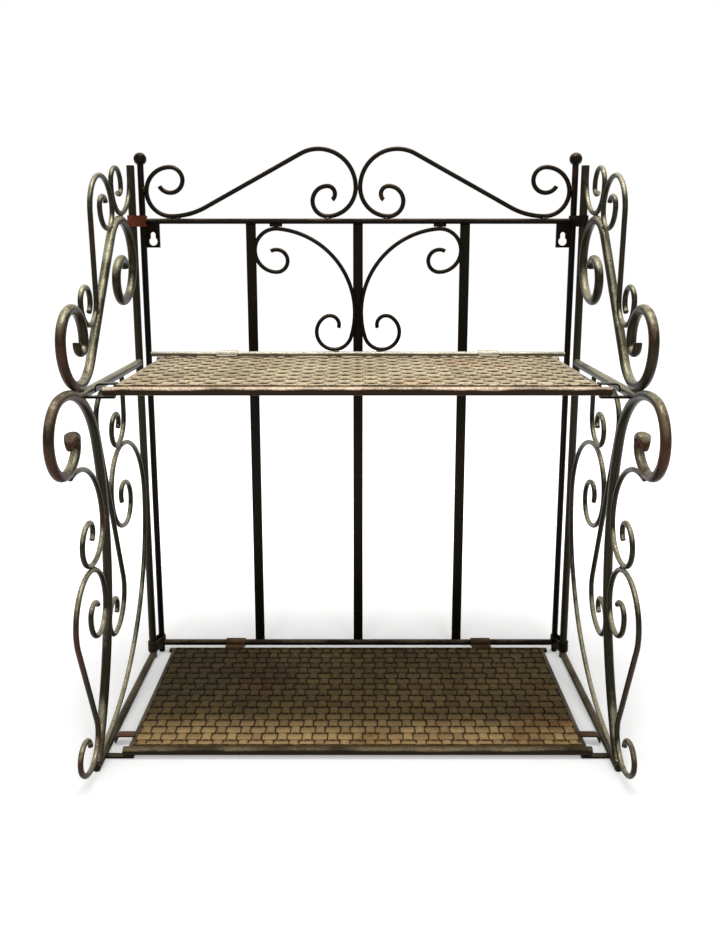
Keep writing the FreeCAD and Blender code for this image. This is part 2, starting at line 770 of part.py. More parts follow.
def side_panel(side, sign):
    """The scrolled panel that swings on the stile."""

    def to_space(across, up):
        return Vector(sign * stile_across, stile_y - across, up)

    stile = straight_rod(
        f"{side}_stile", to_space(0, 0), UP, "stile_diameter", "Sizes.stile_height"
    )
    leg_rod = bent_rod(f"{side}_leg_rod", leg_line, to_space, "heavy_rod_diameter")
    leg_tail = fishtail(f"{side}_leg_tail", leg_line[0], to_space, False)
    foot_bar = straight_rod(
        f"{side}_foot_bar", to_space(0, bar_radius), FORWARD, "bar_diameter",
        foot_across + heavy,
    )
    arm_bar = straight_rod(
        f"{side}_arm_bar", to_space(0, arm_height), FORWARD, "arm_diameter", arm_end
    )
    leg = fitted(f"{side}_leg_scroll", joined(f"{side}_leg_forged", leg_rod, leg_tail), foot_bar)
    arm = fitted(f"{side}_arm", arm_bar, stile, leg_rod)
    bottom_bar = fitted(f"{side}_bottom_bar", foot_bar, stile)
    upper_rod = bent_rod(f"{side}_upper_rod", upper_scroll_line, to_space, "heavy_rod_diameter")
    upper_tail = fishtail(f"{side}_upper_tail", upper_scroll_line[-1], to_space, True)
    upper = joined(f"{side}_upper_scroll", upper_rod, upper_tail)
    keep(stile, arm, bottom_bar, upper, leg)
    for name, line in (
        ("crown_curl", crown_line),
        ("neck_scroll", neck_line),
        ("brace_scroll", brace_line),
        ("drop_curl", drop_line),
        ("eye_curl", eye_line),
        ("foot_scroll", foot_line),
        ("belly_scroll", belly_line),
    ):
        keep(bent_rod(f"{side}_{name}", line, to_space, "light_rod_diameter"))
    ledges = []
    inner = stile_across - size("ledge_length")
    for level, bar, axis in (("lower", foot_bar, bar_radius), ("upper", arm_bar, arm_height)):
        corner = Vector(
            inner if sign > 0 else -stile_across,
            shelf_front_y - half("ledge_width"),
            axis - size("ledge_drop") - half("ledge_thickness"),
        )
        block = box(
            f"{side}_{level}_ledge_block", corner,
            "Sizes.ledge_length", "Sizes.ledge_width", "Sizes.ledge_thickness",
        )
        ledges.append(fitted(f"{side}_{level}_ledge", block, bar))
    keep(group(f"{side}_shelf_ledges", *ledges))


def shelf(name, z, hinge_y, rail_diameter):
    """A rod frame with its sheet, hinge clips and corner hooks."""
    rod_across = half("shelf_width")
    side_across = rod_across - size("side_rod_inset")
    front = straight_rod(
        f"{name}_front_rod", Vector(-rod_across, shelf_front_y, z), RIGHTWARD,
        "front_rod_diameter", "Sizes.shelf_width",
    )
    rear = straight_rod(
        f"{name}_rear_rod", Vector(-rod_across, shelf_rear_y, z), RIGHTWARD,
        "rear_rod_diameter", "Sizes.shelf_width",
    )
    side_rods = []
    for side, sign in SIDES:
        rod = straight_rod(
            f"{name}_{side}_bar", Vector(sign * side_across, shelf_rear_y, z), FORWARD,
            "side_rod_diameter", "Sizes.shelf_depth",
        )
        side_rods.append(fitted(f"{name}_{side}_rod", rod, front, rear))
    sheet_block = box(
        f"{name}_sheet_block",
        Vector(-side_across, shelf_front_y, z + size("sheet_rise")),
        "Sizes.shelf_width - 2 * Sizes.side_rod_inset", "Sizes.shelf_depth",
        "Sizes.sheet_thickness",
    )
    hinge_z = z + size("rail_rise")
    clips = []
    hooks = []
    for side, sign in SIDES:
        clips.append(hinge_clip(
            f"{name}_{side}_clip", sign * half("clip_spacing"), hinge_y, hinge_z, z,
            rail_diameter,
        ))
        hooks.append(corner_hook(f"{name}_{side}_hook", sign, side_across, z))
    panel = fitted(f"{name}_woven_panel", sheet_block, front, rear, *side_rods, *clips)
    keep(
        front,
        rear,
        group(f"{name}_side_rods", *side_rods),
        panel,
        group(f"{name}_hinge_clips", *clips),
        group(f"{name}_corner_hooks", *hooks),
    )


def hinge_clip(name, middle, hinge_y, hinge_z, z, rail_diameter):
    """A strap rolled round a rail, its tail welded on the shelf's rear rod."""
    start = Vector(middle - half("clip_width"), hinge_y, hinge_z)
    skin = straight_rod(f"{name}_skin", start, RIGHTWARD, rail_diameter, "Sizes.clip_width")
    bind(skin, Radius=(
        f"Sizes.{rail_diameter} / 2 + Sizes.hinge_clearance + Sizes.clip_thickness"
    ))
    bore = straight_rod(
        f"{name}_bore", start - RIGHTWARD, RIGHTWARD, rail_diameter, "Sizes.clip_width + 2"
    )
    bind(bore, Radius=f"Sizes.{rail_diameter} / 2 + Sizes.hinge_clearance")
    tail_front = shelf_rear_y - size("clip_lap")
    tail = box(
        f"{name}_tail",
        Vector(start.x, tail_front, z + rear_rod_radius - WELD_BITE),
        "Sizes.clip_width", "1 mm", "Sizes.clip_thickness",
    )
    tail.setExpression("Width", None)
    tail.Width = hinge_y - tail_front
    return fitted(name, joined(f"{name}_strip", skin, tail), bore)


def corner_hook(name, sign, side_across, z):
    """A bent strap on the side rod that reaches out towards the arm and turns down."""
    thick = size("hook_thickness")
    bend = size("hook_bend_radius")
    top = z + half("side_rod_diameter") + thick - WELD_BITE
    reach = stile_across - max(arm_radius, bar_radius) - size("hook_gap")
    turn = Bend(reach - bend, top - bend, bend, RIGHT_HAND)
    tip = turn.up - size("hook_leg")
    inner = Bend(turn.across, turn.up, bend - thick, RIGHT_HAND)
    outline = [
        ((side_across, top), turn.at(ABOVE)),
        (turn.at(ABOVE), turn.at(45), turn.at(AHEAD)),
        (turn.at(AHEAD), (reach, tip)),
        ((reach, tip), (reach - thick, tip)),
        ((reach - thick, tip), inner.at(AHEAD)),
        (inner.at(AHEAD), inner.at(45), inner.at(ABOVE)),
        (inner.at(ABOVE), (side_across, top - thick)),
        ((side_across, top - thick), (side_across, top)),
    ]
    mirrored = [tuple((sign * across, up) for across, up in piece) for piece in outline]
    facing = FreeCAD.Rotation(Vector(1, 0, 0), 90)
    y = shelf_front_y + size("hook_setback") + half("hook_width")
    return padded(name, (mirrored,), FreeCAD.Placement(Vector(0, y, 0), facing), "Sizes.hook_width")


back_frame()
for panel_side, panel_sign in SIDES:
    side_panel(panel_side, panel_sign)
shelf("upper_shelf", upper_shelf_z, rail_y, "rail_diameter")
shelf("lower_shelf", lower_shelf_z, bottom_rail_y, "bottom_rail_diameter")

doc.recompute()
for item in doc.Objects:
    if "Invalid" in item.State or "Error" in item.State:
        raise RuntimeError(f"{item.Label} did not build")
os.makedirs("parts", exist_ok=True)
for node in nodes:
    if node.Shape.isNull() or not node.Shape.isValid() or not node.Shape.Solids:
        raise RuntimeError(f"{node.Label} is not a sound solid")
    node.Shape.exportStep(f"parts/{node.Label}.step")
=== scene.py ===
"""Folding wall shelf of scrolled iron rod: finishes, woven shelves, rolled ends, studio.

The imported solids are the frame. The script weaves the strips of the two shelves, rolls the
ends of the heavy scrolls, lays the weld beads where rods touch, and gives every piece its
finish. Lengths are metres.
"""

import logging
import math
from dataclasses import dataclass
from enum import Enum

import bmesh
import bpy
from mathutils import Matrix, Vector, noise
from mathutils.bvhtree import BVHTree

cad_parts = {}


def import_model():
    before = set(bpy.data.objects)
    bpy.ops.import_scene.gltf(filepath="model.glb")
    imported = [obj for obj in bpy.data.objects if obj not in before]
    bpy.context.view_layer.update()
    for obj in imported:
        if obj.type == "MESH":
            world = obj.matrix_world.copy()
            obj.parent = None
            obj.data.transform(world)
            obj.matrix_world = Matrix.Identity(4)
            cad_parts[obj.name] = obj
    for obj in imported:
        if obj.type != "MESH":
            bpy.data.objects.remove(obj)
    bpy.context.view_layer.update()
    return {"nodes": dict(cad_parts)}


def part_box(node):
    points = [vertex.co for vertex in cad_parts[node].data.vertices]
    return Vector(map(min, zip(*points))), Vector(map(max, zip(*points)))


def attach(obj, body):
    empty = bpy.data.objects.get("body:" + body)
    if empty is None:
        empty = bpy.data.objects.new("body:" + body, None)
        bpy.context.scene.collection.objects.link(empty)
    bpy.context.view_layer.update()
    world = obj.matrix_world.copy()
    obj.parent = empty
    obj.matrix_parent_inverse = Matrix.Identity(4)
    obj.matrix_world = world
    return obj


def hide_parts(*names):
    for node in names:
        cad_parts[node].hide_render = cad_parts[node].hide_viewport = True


LOG = logging.getLogger("wall_shelf")
MM = 0.001

Colour = tuple[float, float, float, float]
Socket = bpy.types.NodeSocket


def paint(red: int, green: int, blue: int) -> Colour:
    """A shader colour from the red, green and blue of a paint chart.

    Args:
        red: Red share, 0 to 255.
        green: Green share, 0 to 255.
        blue: Blue share, 0 to 255.

    Returns:
        The linear colour with full opacity.
    """
    shares = [share / 255 for share in (red, green, blue)]
    linear = [
        share / 12.92 if share <= 0.04045 else ((share + 0.055) / 1.055) ** 2.4
        for share in shares
    ]
    return (linear[0], linear[1], linear[2], 1.0)


class Recipe:
    """The shader nodes of one finish while they are put together."""

    def __init__(self, name: str) -> None:
        """Starts an empty finish.

        Args:
            name: Name of the finish.
        """
        self.material = bpy.data.materials.new(name)
        self.material.use_nodes = True
        self.tree = self.material.node_tree
        self.shader = self.tree.nodes["Principled BSDF"]
        self.place: Socket = self.tree.nodes.new("ShaderNodeTexCoord").outputs["Object"]

    def plug(self, source: Socket, target: Socket) -> None:
        """Links one socket to another."""
        self.tree.links.new(source, target)

    def cloud(self, scale: float, detail: float, roughness: float = 0.55) -> Socket:
        """A noise that lies still on the piece.

        Args:
            scale: Features for each metre.
            detail: Octaves of finer noise.
            roughness: Weight of the finer noise.

        Returns:
            The noise value.
        """
        node = self.tree.nodes.new("ShaderNodeTexNoise")
        node.inputs["Scale"].default_value = scale
        node.inputs["Detail"].default_value = detail
        node.inputs["Roughness"].default_value = roughness
        self.plug(self.place, node.inputs["Vector"])
        return node.outputs["Fac"]

    def attribute(self, name: str) -> Socket:
        """Reads an attribute that the mesh carries.

        Args:
            name: Name of the attribute.

        Returns:
            The attribute's value.
        """
        node = self.tree.nodes.new("ShaderNodeAttribute")
        node.attribute_name = name
        return node.outputs["Fac"]

    def along(self, axis: str) -> Socket:
        """Reads the place on the piece along one axis.

        Args:
            axis: X, Y or Z.

        Returns:
            The place in metres.
        """
        split = self.tree.nodes.new("ShaderNodeSeparateXYZ")
        self.plug(self.place, split.inputs[0])
        return split.outputs[axis]

    def facing_up(self) -> Socket:
        """Reads how far the surface faces upwards.

        Returns:
            A value from -1, downwards, to 1, upwards.
        """
        normal = self.tree.nodes.new("ShaderNodeNewGeometry").outputs["Normal"]
        split = self.tree.nodes.new("ShaderNodeSeparateXYZ")
        self.plug(normal, split.inputs[0])
        return split.outputs["Z"]

    def span(
        self, value: Socket, low: float, high: float, start: float = 0.0, end: float = 1.0
    ) -> Socket:
        """A value brought smoothly from one range to another.

        Args:
            value: The value to bring over.
            low: Value that becomes start.
            high: Value that becomes end.
            start: Lower result.
            end: Upper result.

        Returns:
            The new value.
        """
        node = self.tree.nodes.new("ShaderNodeMapRange")
        node.interpolation_type = "SMOOTHSTEP"
        node.inputs["From Min"].default_value = low
        node.inputs["From Max"].default_value = high
        node.inputs["To Min"].default_value = start
        node.inputs["To Max"].default_value = end
        self.plug(value, node.inputs["Value"])
        return node.outputs["Result"]

    def work(self, operation: str, first: Socket, second: Socket | float) -> Socket:
        """Two values put together.

        Args:
            operation: Name of the sum to do.
            first: First value.
            second: Second value, a socket or a number.

        Returns:
            The result.
        """
        node = self.tree.nodes.new("ShaderNodeMath")
        node.operation = operation
        self.plug(first, node.inputs[0])
        if isinstance(second, Socket):
            self.plug(second, node.inputs[1])
        else:
            node.inputs[1].default_value = second
        return node.outputs[0]

    def blend(self, share: Socket, first: Socket | Colour, second: Socket | Colour) -> Socket:
        """Two colours mixed by a share.

        Args:
            share: Share of the second colour.
            first: First colour.
            second: Second colour.

        Returns:
            The mixed colour.
        """
        node = self.tree.nodes.new("ShaderNodeMix")
        node.data_type = "RGBA"
        self.plug(share, node.inputs["Factor"])
        for name, colour in (("A", first), ("B", second)):
            target = next(s for s in node.inputs if s.name == name and s.type == "RGBA")
            if isinstance(colour, Socket):
                self.plug(colour, target)
            else:
                target.default_value = colour
        return next(s for s in node.outputs if s.type == "RGBA")

    def relief(self, height: Socket, depth: float, strength: float) -> None:
        """Raises the surface by a height value.

        Args:
            height: The height, 0 to 1.
            depth: Depth of the relief.
            strength: Share of the relief that shows.
        """
        node = self.tree.nodes.new("ShaderNodeBump")
        node.inputs["Strength"].default_value = strength
        node.inputs["Distance"].default_value = depth
        self.plug(height, node.inputs["Height"])
        self.plug(node.outputs["Normal"], self.shader.inputs["Normal"])


@dataclass(frozen=True)
class AgedIron:
    """Bronzed paint on iron rod: pale on top, partly rubbed wear and partly a painted highlight,
    darker below as painted shade, rusty towards the front.

    Attributes:
        name: Name of the finish.
        ground: Colour of the paint.
        rubbed_and_lit: Colour where the paint is rubbed, also used as the painted highlight on
            the upper sides.
        rust: Colour of the rusty patches.
        rubbed_from: Noise level from which the paint is rubbed.
        rust_from: Noise level from which rust shows.
        front_rust: How much more the foremost parts rust.
        top_rust: How much more the parts high up rust.
        matt: Lowest and highest roughness.
        metal: Metallic share.
        top_light_and_wear: How much lighter the upper sides and darker the lower sides are
            painted: partly rubbed wear, partly painted highlight and shade.
        shine: Share of the clear reflection.
    """

    name: str
    ground: Colour
    rubbed_and_lit: Colour
    rust: Colour
    rubbed_from: float = 0.46
    rust_from: float = 0.58
    front_rust: float = 0.0
    top_rust: float = 0.0
    matt: tuple[float, float] = (0.38, 0.58)
    metal: float = 0.3
    top_light_and_wear: float = 0.24
    shine: float = 0.07

    def material(self) -> bpy.types.Material:
        """Puts the finish together.

        Returns:
            The new material.
        """
        recipe = Recipe(self.name)
        patch = recipe.cloud(scale=17.0, detail=5.0, roughness=0.6)
        sand = recipe.cloud(scale=760.0, detail=3.0, roughness=0.6)
        dents = recipe.cloud(scale=130.0, detail=2.0)
        scale = recipe.cloud(scale=17.0, detail=6.0, roughness=0.68)
        # Painted highlight and shade, partly real wear: faces turned up lean to the pale rubbed
        # colour, faces turned down to the dark paint.
        lit = recipe.span(recipe.facing_up(), -0.6, 0.9, -self.top_light_and_wear, self.top_light_and_wear)
        wear_and_light = recipe.work("ADD", recipe.span(patch, 0.25, 0.75, 0.36, 0.64), lit)
        rubbed_and_lit = recipe.span(wear_and_light, self.rubbed_from, self.rubbed_from + 0.26)
        colour = recipe.blend(rubbed_and_lit, self.ground, self.rubbed_and_lit)
        front = recipe.span(recipe.along("Y"), -0.03, -0.14, 0.0, self.front_rust)
        high = recipe.span(recipe.along("Z"), 0.25, 0.45, 0.0, self.top_rust)
        rotten = recipe.work("ADD", recipe.work("ADD", scale, front), high)
        rusty = recipe.span(rotten, self.rust_from, self.rust_from + 0.14, 0.0, 0.8)
        colour = recipe.blend(rusty, colour, self.rust)
        speck = recipe.span(sand, 0.48, 0.64, 0.0, 0.7)
        colour = recipe.blend(speck, colour, self.ground)
        recipe.plug(colour, recipe.shader.inputs["Base Color"])
        recipe.shader.inputs["Metallic"].default_value = self.metal
        recipe.shader.inputs["Specular IOR Level"].default_value = self.shine
        rough = recipe.span(recipe.work("MAXIMUM", rusty, sand), 0.35, 0.85, *self.matt)
        recipe.plug(rough, recipe.shader.inputs["Roughness"])
        skin = recipe.work("ADD", recipe.work("MULTIPLY", sand, 0.3), dents)
        recipe.relief(skin, depth=0.4 * MM, strength=0.3)
        return recipe.material


@dataclass(frozen=True)
class WovenMetal:
    """Bronzed strips: painted shade where they dip under, painted light where they come up.

    Attributes:
        name: Name of the finish.
        dip: Colour where a strip goes under: the painted shade.
        crest: Colour where a strip comes up: the painted light.
        stain: Colour of the broad stains.
        dull: Colour of the dull middle of the sheet.
        front_lit: Colour of the rows near the front: painted light, lighter than the rows behind
            them.
        front_lit_dip: Colour between the strips there.
        stain_from: Noise level from which a stain shows.
        matt: Lowest and highest roughness.
        metal: Metallic share.
        shine: Share of the clear reflection.
    """

    name: str
    dip: Colour
    crest: Colour
    stain: Colour
    dull: Colour
    front_lit: Colour
    front_lit_dip: Colour
    stain_from: float = 0.48
    matt: tuple[float, float] = (0.4, 0.6)
    metal: float = 0.35
    shine: float = 0.07

    def material(self) -> bpy.types.Material:
        """Puts the finish together.

        Returns:
            The new material.
        """
        recipe = Recipe(self.name)
        broad = recipe.cloud(scale=8.0, detail=5.0, roughness=0.62)
        other = recipe.cloud(scale=5.0, detail=3.0)
        grain = recipe.cloud(scale=300.0, detail=4.0, roughness=0.6)
        sand = recipe.cloud(scale=1100.0, detail=2.0)
        # Painted light and shade from the mesh's relief, turned over on faces that look down:
        # dark where a strip dips, light where it comes up.
        turned = recipe.span(recipe.facing_up(), -0.2, 0.2, -1.0, 1.0)
        height = recipe.work("MULTIPLY", recipe.attribute("relief"), turned)
        tone = recipe.attribute("strip_tone")
        sheen = recipe.blend(recipe.span(other, 0.4, 0.62), self.crest, self.dull)
        # Painted light: the rows towards the front are lighter than the rows further back.
        front = recipe.span(recipe.along("Y"), 0.0, -0.05, 0.0, 0.9)
        sheen = recipe.blend(front, sheen, self.front_lit)
        dip = recipe.blend(front, self.dip, self.front_lit_dip)
        stained = recipe.span(broad, self.stain_from, self.stain_from + 0.2, 0.0, 0.8)
        sheen = recipe.blend(stained, sheen, self.stain)
        sheen = recipe.blend(recipe.span(tone, -0.5, 0.6, 0.0, 0.4), sheen, dip)
        sheen = recipe.blend(recipe.span(grain, 0.5, 0.75, 0.0, 0.45), sheen, dip)
        wear_and_light = recipe.work("ADD", height, recipe.span(grain, 0.3, 0.7, -0.15, 0.15))
        colour = recipe.blend(recipe.span(wear_and_light, 0.0, 0.9), dip, sheen)
        recipe.plug(colour, recipe.shader.inputs["Base Color"])
        recipe.shader.inputs["Metallic"].default_value = self.metal
        recipe.shader.inputs["Specular IOR Level"].default_value = self.shine
        recipe.plug(recipe.span(grain, 0.3, 0.75, *self.matt), recipe.shader.inputs["Roughness"])
        skin = recipe.work("ADD", recipe.work("MULTIPLY", sand, 0.4), grain)
        recipe.relief(skin, depth=0.3 * MM, strength=0.5)
        return recipe.material


class Finish(Enum):
    """The finishes of the shelf."""

    # Darker copy of the panel iron: painted shade for the back frame, which stands further from
    # the lamps.
    BACK_IRON = AgedIron(
        "back_iron", paint(20, 15, 9), paint(84, 72, 55), paint(62, 38, 26),
        rubbed_from=0.58, rust_from=0.6, matt=(0.3, 0.5), metal=0.4,
    )
    # Paler copy of the back iron: a painted highlight for the light reflected along the middle
    # rail's top.
    RAIL_IRON = AgedIron(
        "rail_iron", paint(86, 80, 66), paint(204, 197, 178), paint(110, 86, 64),
        rubbed_from=0.46, rust_from=0.66, top_light_and_wear=0.3,
    )
    # Lighter copy of the back iron: painted light for the side panels, which stand nearer the
    # lamps.
    PANEL_IRON = AgedIron(
        "panel_iron", paint(36, 32, 20), paint(168, 161, 132), paint(64, 36, 24),
        rubbed_from=0.58, rust_from=0.57, front_rust=0.16, matt=(0.28, 0.45), metal=0.35,
        top_light_and_wear=0.32, shine=0.12,
    )
    UPPER_ROD = AgedIron(
        "upper_rod_iron", paint(38, 25, 14), paint(198, 178, 154), paint(66, 36, 22),
        rubbed_from=0.6, rust_from=0.6, top_light_and_wear=0.32,
    )
    LOWER_ROD = AgedIron(
        "lower_rod_iron", paint(32, 26, 17), paint(112, 98, 74), paint(62, 42, 27),
        rubbed_from=0.62, rust_from=0.6, top_light_and_wear=0.3,
    )
    STRAP = AgedIron(
        "strap_iron", paint(38, 31, 23), paint(88, 66, 48), paint(110, 50, 32),
        rubbed_from=0.58, rust_from=0.66, top_rust=0.5, matt=(0.45, 0.7), metal=0.25,
    )
    FITTING = AgedIron(
        "fitting_iron", paint(48, 33, 21), paint(108, 80, 55), paint(92, 52, 34),
        rubbed_from=0.56, rust_from=0.52, matt=(0.4, 0.65), metal=0.3,
    )
    BEAD = AgedIron(
        "bead_iron", paint(60, 45, 33), paint(150, 118, 94), paint(108, 68, 48),
        rubbed_from=0.54, rust_from=0.54, matt=(0.35, 0.6), metal=0.4,
    )
    # Same sheet as the lower shelf in a lighter copy: painted light and reflection on the upper
    # sheet.
    UPPER_WEAVE = WovenMetal(
        "upper_weave", dip=paint(50, 35, 16), crest=paint(220, 202, 164),
        stain=paint(204, 168, 128), dull=paint(202, 184, 146), front_lit=paint(226, 208, 172),
        front_lit_dip=paint(54, 38, 18),
    )
    # Same sheet as the upper shelf in a darker copy: painted shade under the upper shelf.
    LOWER_WEAVE = WovenMetal(
        "lower_weave", dip=paint(22, 15, 3), crest=paint(106, 88, 52),
        stain=paint(112, 76, 40), dull=paint(78, 67, 40), front_lit=paint(194, 162, 112),
        front_lit_dip=paint(62, 44, 20), stain_from=0.54, matt=(0.5, 0.7), metal=0.25,
    )

    def dress(self, *pieces: bpy.types.Object) -> None:
        """Gives pieces this finish.

        Args:
            pieces: The pieces to dress.
        """
        material = bpy.data.materials.get(self.value.name) or self.value.material()
        for piece in pieces:
            if not piece.material_slots:
                piece.data.materials.append(material)
            for held in piece.material_slots:
                held.material = material


class Side(Enum):
    """The two sides of the shelf, seen from the front."""

    LEFT = "left"
    RIGHT = "right"

    def named(self, piece: str) -> str:
        """Name of a piece on this side."""
        return f"{self.value}_{piece}"


def linked(name: str, mesh: bmesh.types.BMesh) -> bpy.types.Object:
    """Makes an object of a bmesh and puts it in the scene.

    Args:
        name: Name of the object.
        mesh: Its shape, in place; it is freed.

    Returns:
        The new object.
    """
    data = bpy.data.meshes.new(name)
    mesh.to_mesh(data)
    mesh.free()
    thing = bpy.data.objects.new(name, data)
    bpy.context.scene.collection.objects.link(thing)
    return thing


def finished(name: str, mesh: bmesh.types.BMesh, body: str) -> bpy.types.Object:
    """Makes a piece of a closed bmesh and lets it ride on a body.

    Args:
        name: Name of the piece.
        mesh: Its shape, in place; it is freed.
        body: The body that carries it.

    Returns:
        The new piece.
    """
    bmesh.ops.recalc_face_normals(mesh, faces=mesh.faces[:])
    for face in mesh.faces:
        face.smooth = True
    piece = linked(name, mesh)
    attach(piece, body)
    LOG.info("%s rides on %s", name, body)
    return piece


@dataclass
class WovenShelf:
    """One shelf: a rod frame with a panel of strips woven over and under.

    Attributes:
        name: Name of the shelf and of its body.
        weave: Finish of the strips.
        rod: Finish of the rods.
        clip: Finish of the clips on the rail.
        hook: Finish of the hooks on the side panels.
        slot: The record's material slot of the panel; not used.
        least_dip_light: Least painted light of the cross strips where they dip, so how dark their
            painted shade gets there.
        dive_shade: How far up the painted shade sits where the deep strips dive.
        deep_strips: Strips that run from front to back.
        cross_strips: Strips that run from side to side.
        deep_cover: Share of its pitch that a deep strip is wide.
        cross_cover: Share of its pitch that a cross strip is wide.
        deep_level: Height of the deep strips over the middle of the sheet.
        deep_swing: How far a deep strip rises and dips.
        cross_level: Height of the cross strips over the middle of the sheet.
        cross_swing: How far a cross strip rises and dips.
        deep_hold: How much longer a deep strip stays up than down.
        cross_hold: How much longer a cross strip stays up than down.
        deep_steep: How steeply a deep strip dives.
        cross_steep: How steeply a cross strip dives.
        crown: How far the edges of a deep strip turn down.
        wander: How far a strip strays to the side.
        bunch: How far the mesh steps gather where a strip dives.
        dive_gain: How fast a deep strip brightens as it comes up.
        rim_gain: How fast a deep strip brightens towards its edges.
        rim_loss: How dark the middle of a dive is against its edges.
        edge_loss: How much darker a cross strip is at its edges.
        strip_thickness: Thickness of a strip.
        margin: How far the strips stay inside the plain panel, clear of the side rods.
        sink: How far the strips lie below the middle of the plain panel, clear of the frame.
        patch_lap: How much wider a patch is than the hole that it closes.
        patch_drop: How far the patches lie below the middle of the sheet.
        lip_depth: Depth of the lips along the front and rear rod.
        lip_rise: How far the front lip stands above the sheet.
        rear_share: Share of that height that the rear lip has.
        lip_face: Share of the lip's depth behind which it stands up.
        lip_steps: Mesh steps along a lip.
        steps: Mesh steps for each crossing.
    """

    name: str
    weave: Finish
    rod: Finish
    clip: Finish
    hook: Finish
    slot: str
    least_dip_light: float
    dive_shade: float
    deep_strips: int = 35
    cross_strips: int = 17
    deep_cover: float = 0.7
    cross_cover: float = 0.8
    deep_level: float = 0.2 * MM
    deep_swing: float = 0.95 * MM
    cross_level: float = -0.15 * MM
    cross_swing: float = 0.3 * MM
    deep_hold: float = 0.1
    cross_hold: float = 0.3
    deep_steep: float = 2.2
    cross_steep: float = 4.0
    crown: float = 0.7 * MM
    wander: float = 0.5 * MM
    bunch: float = 0.09
    dive_gain: float = 1.8
    rim_gain: float = 1.3
    rim_loss: float = 0.75
    edge_loss: float = 0.3
    strip_thickness: float = 0.4 * MM
    margin: float = 2.6 * MM
    sink: float = 0.6 * MM
    patch_lap: float = 1.2 * MM
    patch_drop: float = 0.35 * MM
    lip_depth: float = 2.8 * MM
    lip_rise: float = 1.8 * MM
    rear_share: float = 1 / 3
    lip_face: float = 0.9
    lip_steps: int = 160
    steps: int = 8

    @property
    def node(self) -> str:
        """Name of the plain panel that the strips stand for."""
        return f"{self.name}_woven_panel"

    def field(self) -> tuple[Vector, Vector]:
        """Works out the field that is woven.

        Returns:
            Its lowest and highest corner.
        """
        low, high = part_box(self.node)
        inward = Vector((self.margin, 0.0, 0.0))
        return low + inward, high - inward

    def weave_run(self, mesh: bmesh.types.BMesh, count: int, crossings: int, turn: bool) -> None:
        """Lays all strips of one direction.

        Args:
            mesh: The mesh that takes the strips.
            count: Number of strips side by side.
            crossings: Number of strips that each one meets.
            turn: True for strips that run from side to side.
        """
        low, high = self.field()
        beside, along = (1, 0) if turn else (0, 1)
        pitch = (high[beside] - low[beside]) / count
        cell = (high[along] - low[along]) / crossings
        half_width = pitch / 2 * (self.cross_cover if turn else self.deep_cover)
        level = (low.z + high.z) / 2 - self.sink
        level += self.cross_level if turn else self.deep_level
        hold = self.cross_hold if turn else self.deep_hold
        steep = self.cross_steep if turn else self.deep_steep
        relief = mesh.verts.layers.float["relief"]
        tone = mesh.verts.layers.float["strip_tone"]
        for number in range(count):
            centre = (low + high) / 2
            centre[beside] = low[beside] + (number + 0.5) * pitch
            stretch = Vector((1.0, 1.0, 1.0))
            stretch[beside] = 2 * half_width
            stretch[along] = high[along] - low[along]
            segments = [3, 3] if turn else [4, 4]
            segments[along] = crossings * self.steps
            laid = bmesh.ops.create_grid(
                mesh,
                x_segments=segments[0],
                y_segments=segments[1],
                size=0.5,
                matrix=Matrix.Translation(centre) @ Matrix.Diagonal(stretch).to_4x4(),
            )["verts"]
            side = 1 if (number % 2 == 0) != turn else -1
            for vert in laid:
                step = (vert.co[along] - low[along]) / cell
                step -= self.bunch * math.sin(2 * math.pi * step)
                edge = (vert.co[beside] - centre[beside]) / half_width
                block = Vector((number * 3.71 + 0.4, round(step - 0.5) * 2.3, 7.0 * turn))
                drift = noise.noise(Vector((number * 1.9, step * 0.35, 3.0 + turn)))
                beat = side * math.cos(math.pi * (step - 0.5))
                rise = math.tanh(steep * (beat + hold))
                vert.co[along] = low[along] + step * cell
                vert.co[beside] += self.wander * drift
                # The relief value is painted light and shade: low and dark where a strip dips
                # under its neighbours, high and light where it comes up.
                if turn:
                    vert.co.z = level + self.cross_swing * rise
                    vert[relief] = max(rise, self.least_dip_light) - self.edge_loss * edge ** 8
                else:
                    vert.co.z = level + self.deep_swing * rise - self.crown * edge ** 2
                    rim = self.rim_gain * abs(edge) - self.rim_loss
                    vert[relief] = max(self.dive_gain * rise - self.dive_shade, rim)
                vert[tone] = noise.noise(block)

    def close_corners(self, mesh: bmesh.types.BMesh) -> None:
        """Closes the small holes at the corners of the crossings with dark patches, which stand
        in for the shade seen through them.

        Args:
            mesh: The mesh that takes the patches.
        """
        low, high = self.field()
        across = (high.x - low.x) / self.deep_strips
        back = (high.y - low.y) / self.cross_strips
        size = Matrix.Diagonal((
            (1.0 - self.deep_cover) * across + self.patch_lap,
            (1.0 - self.cross_cover) * back + self.patch_lap,
            1.0,
        )).to_4x4()
        level = (low.z + high.z) / 2 - self.sink - self.patch_drop
        for column in range(self.deep_strips + 1):
            for row in range(1, self.cross_strips):
                corner = Vector((low.x + column * across, low.y + row * back, level))
                bmesh.ops.create_grid(
                    mesh,
                    x_segments=1,
                    y_segments=1,
                    size=0.5,
                    matrix=Matrix.Translation(corner) @ size,
                )

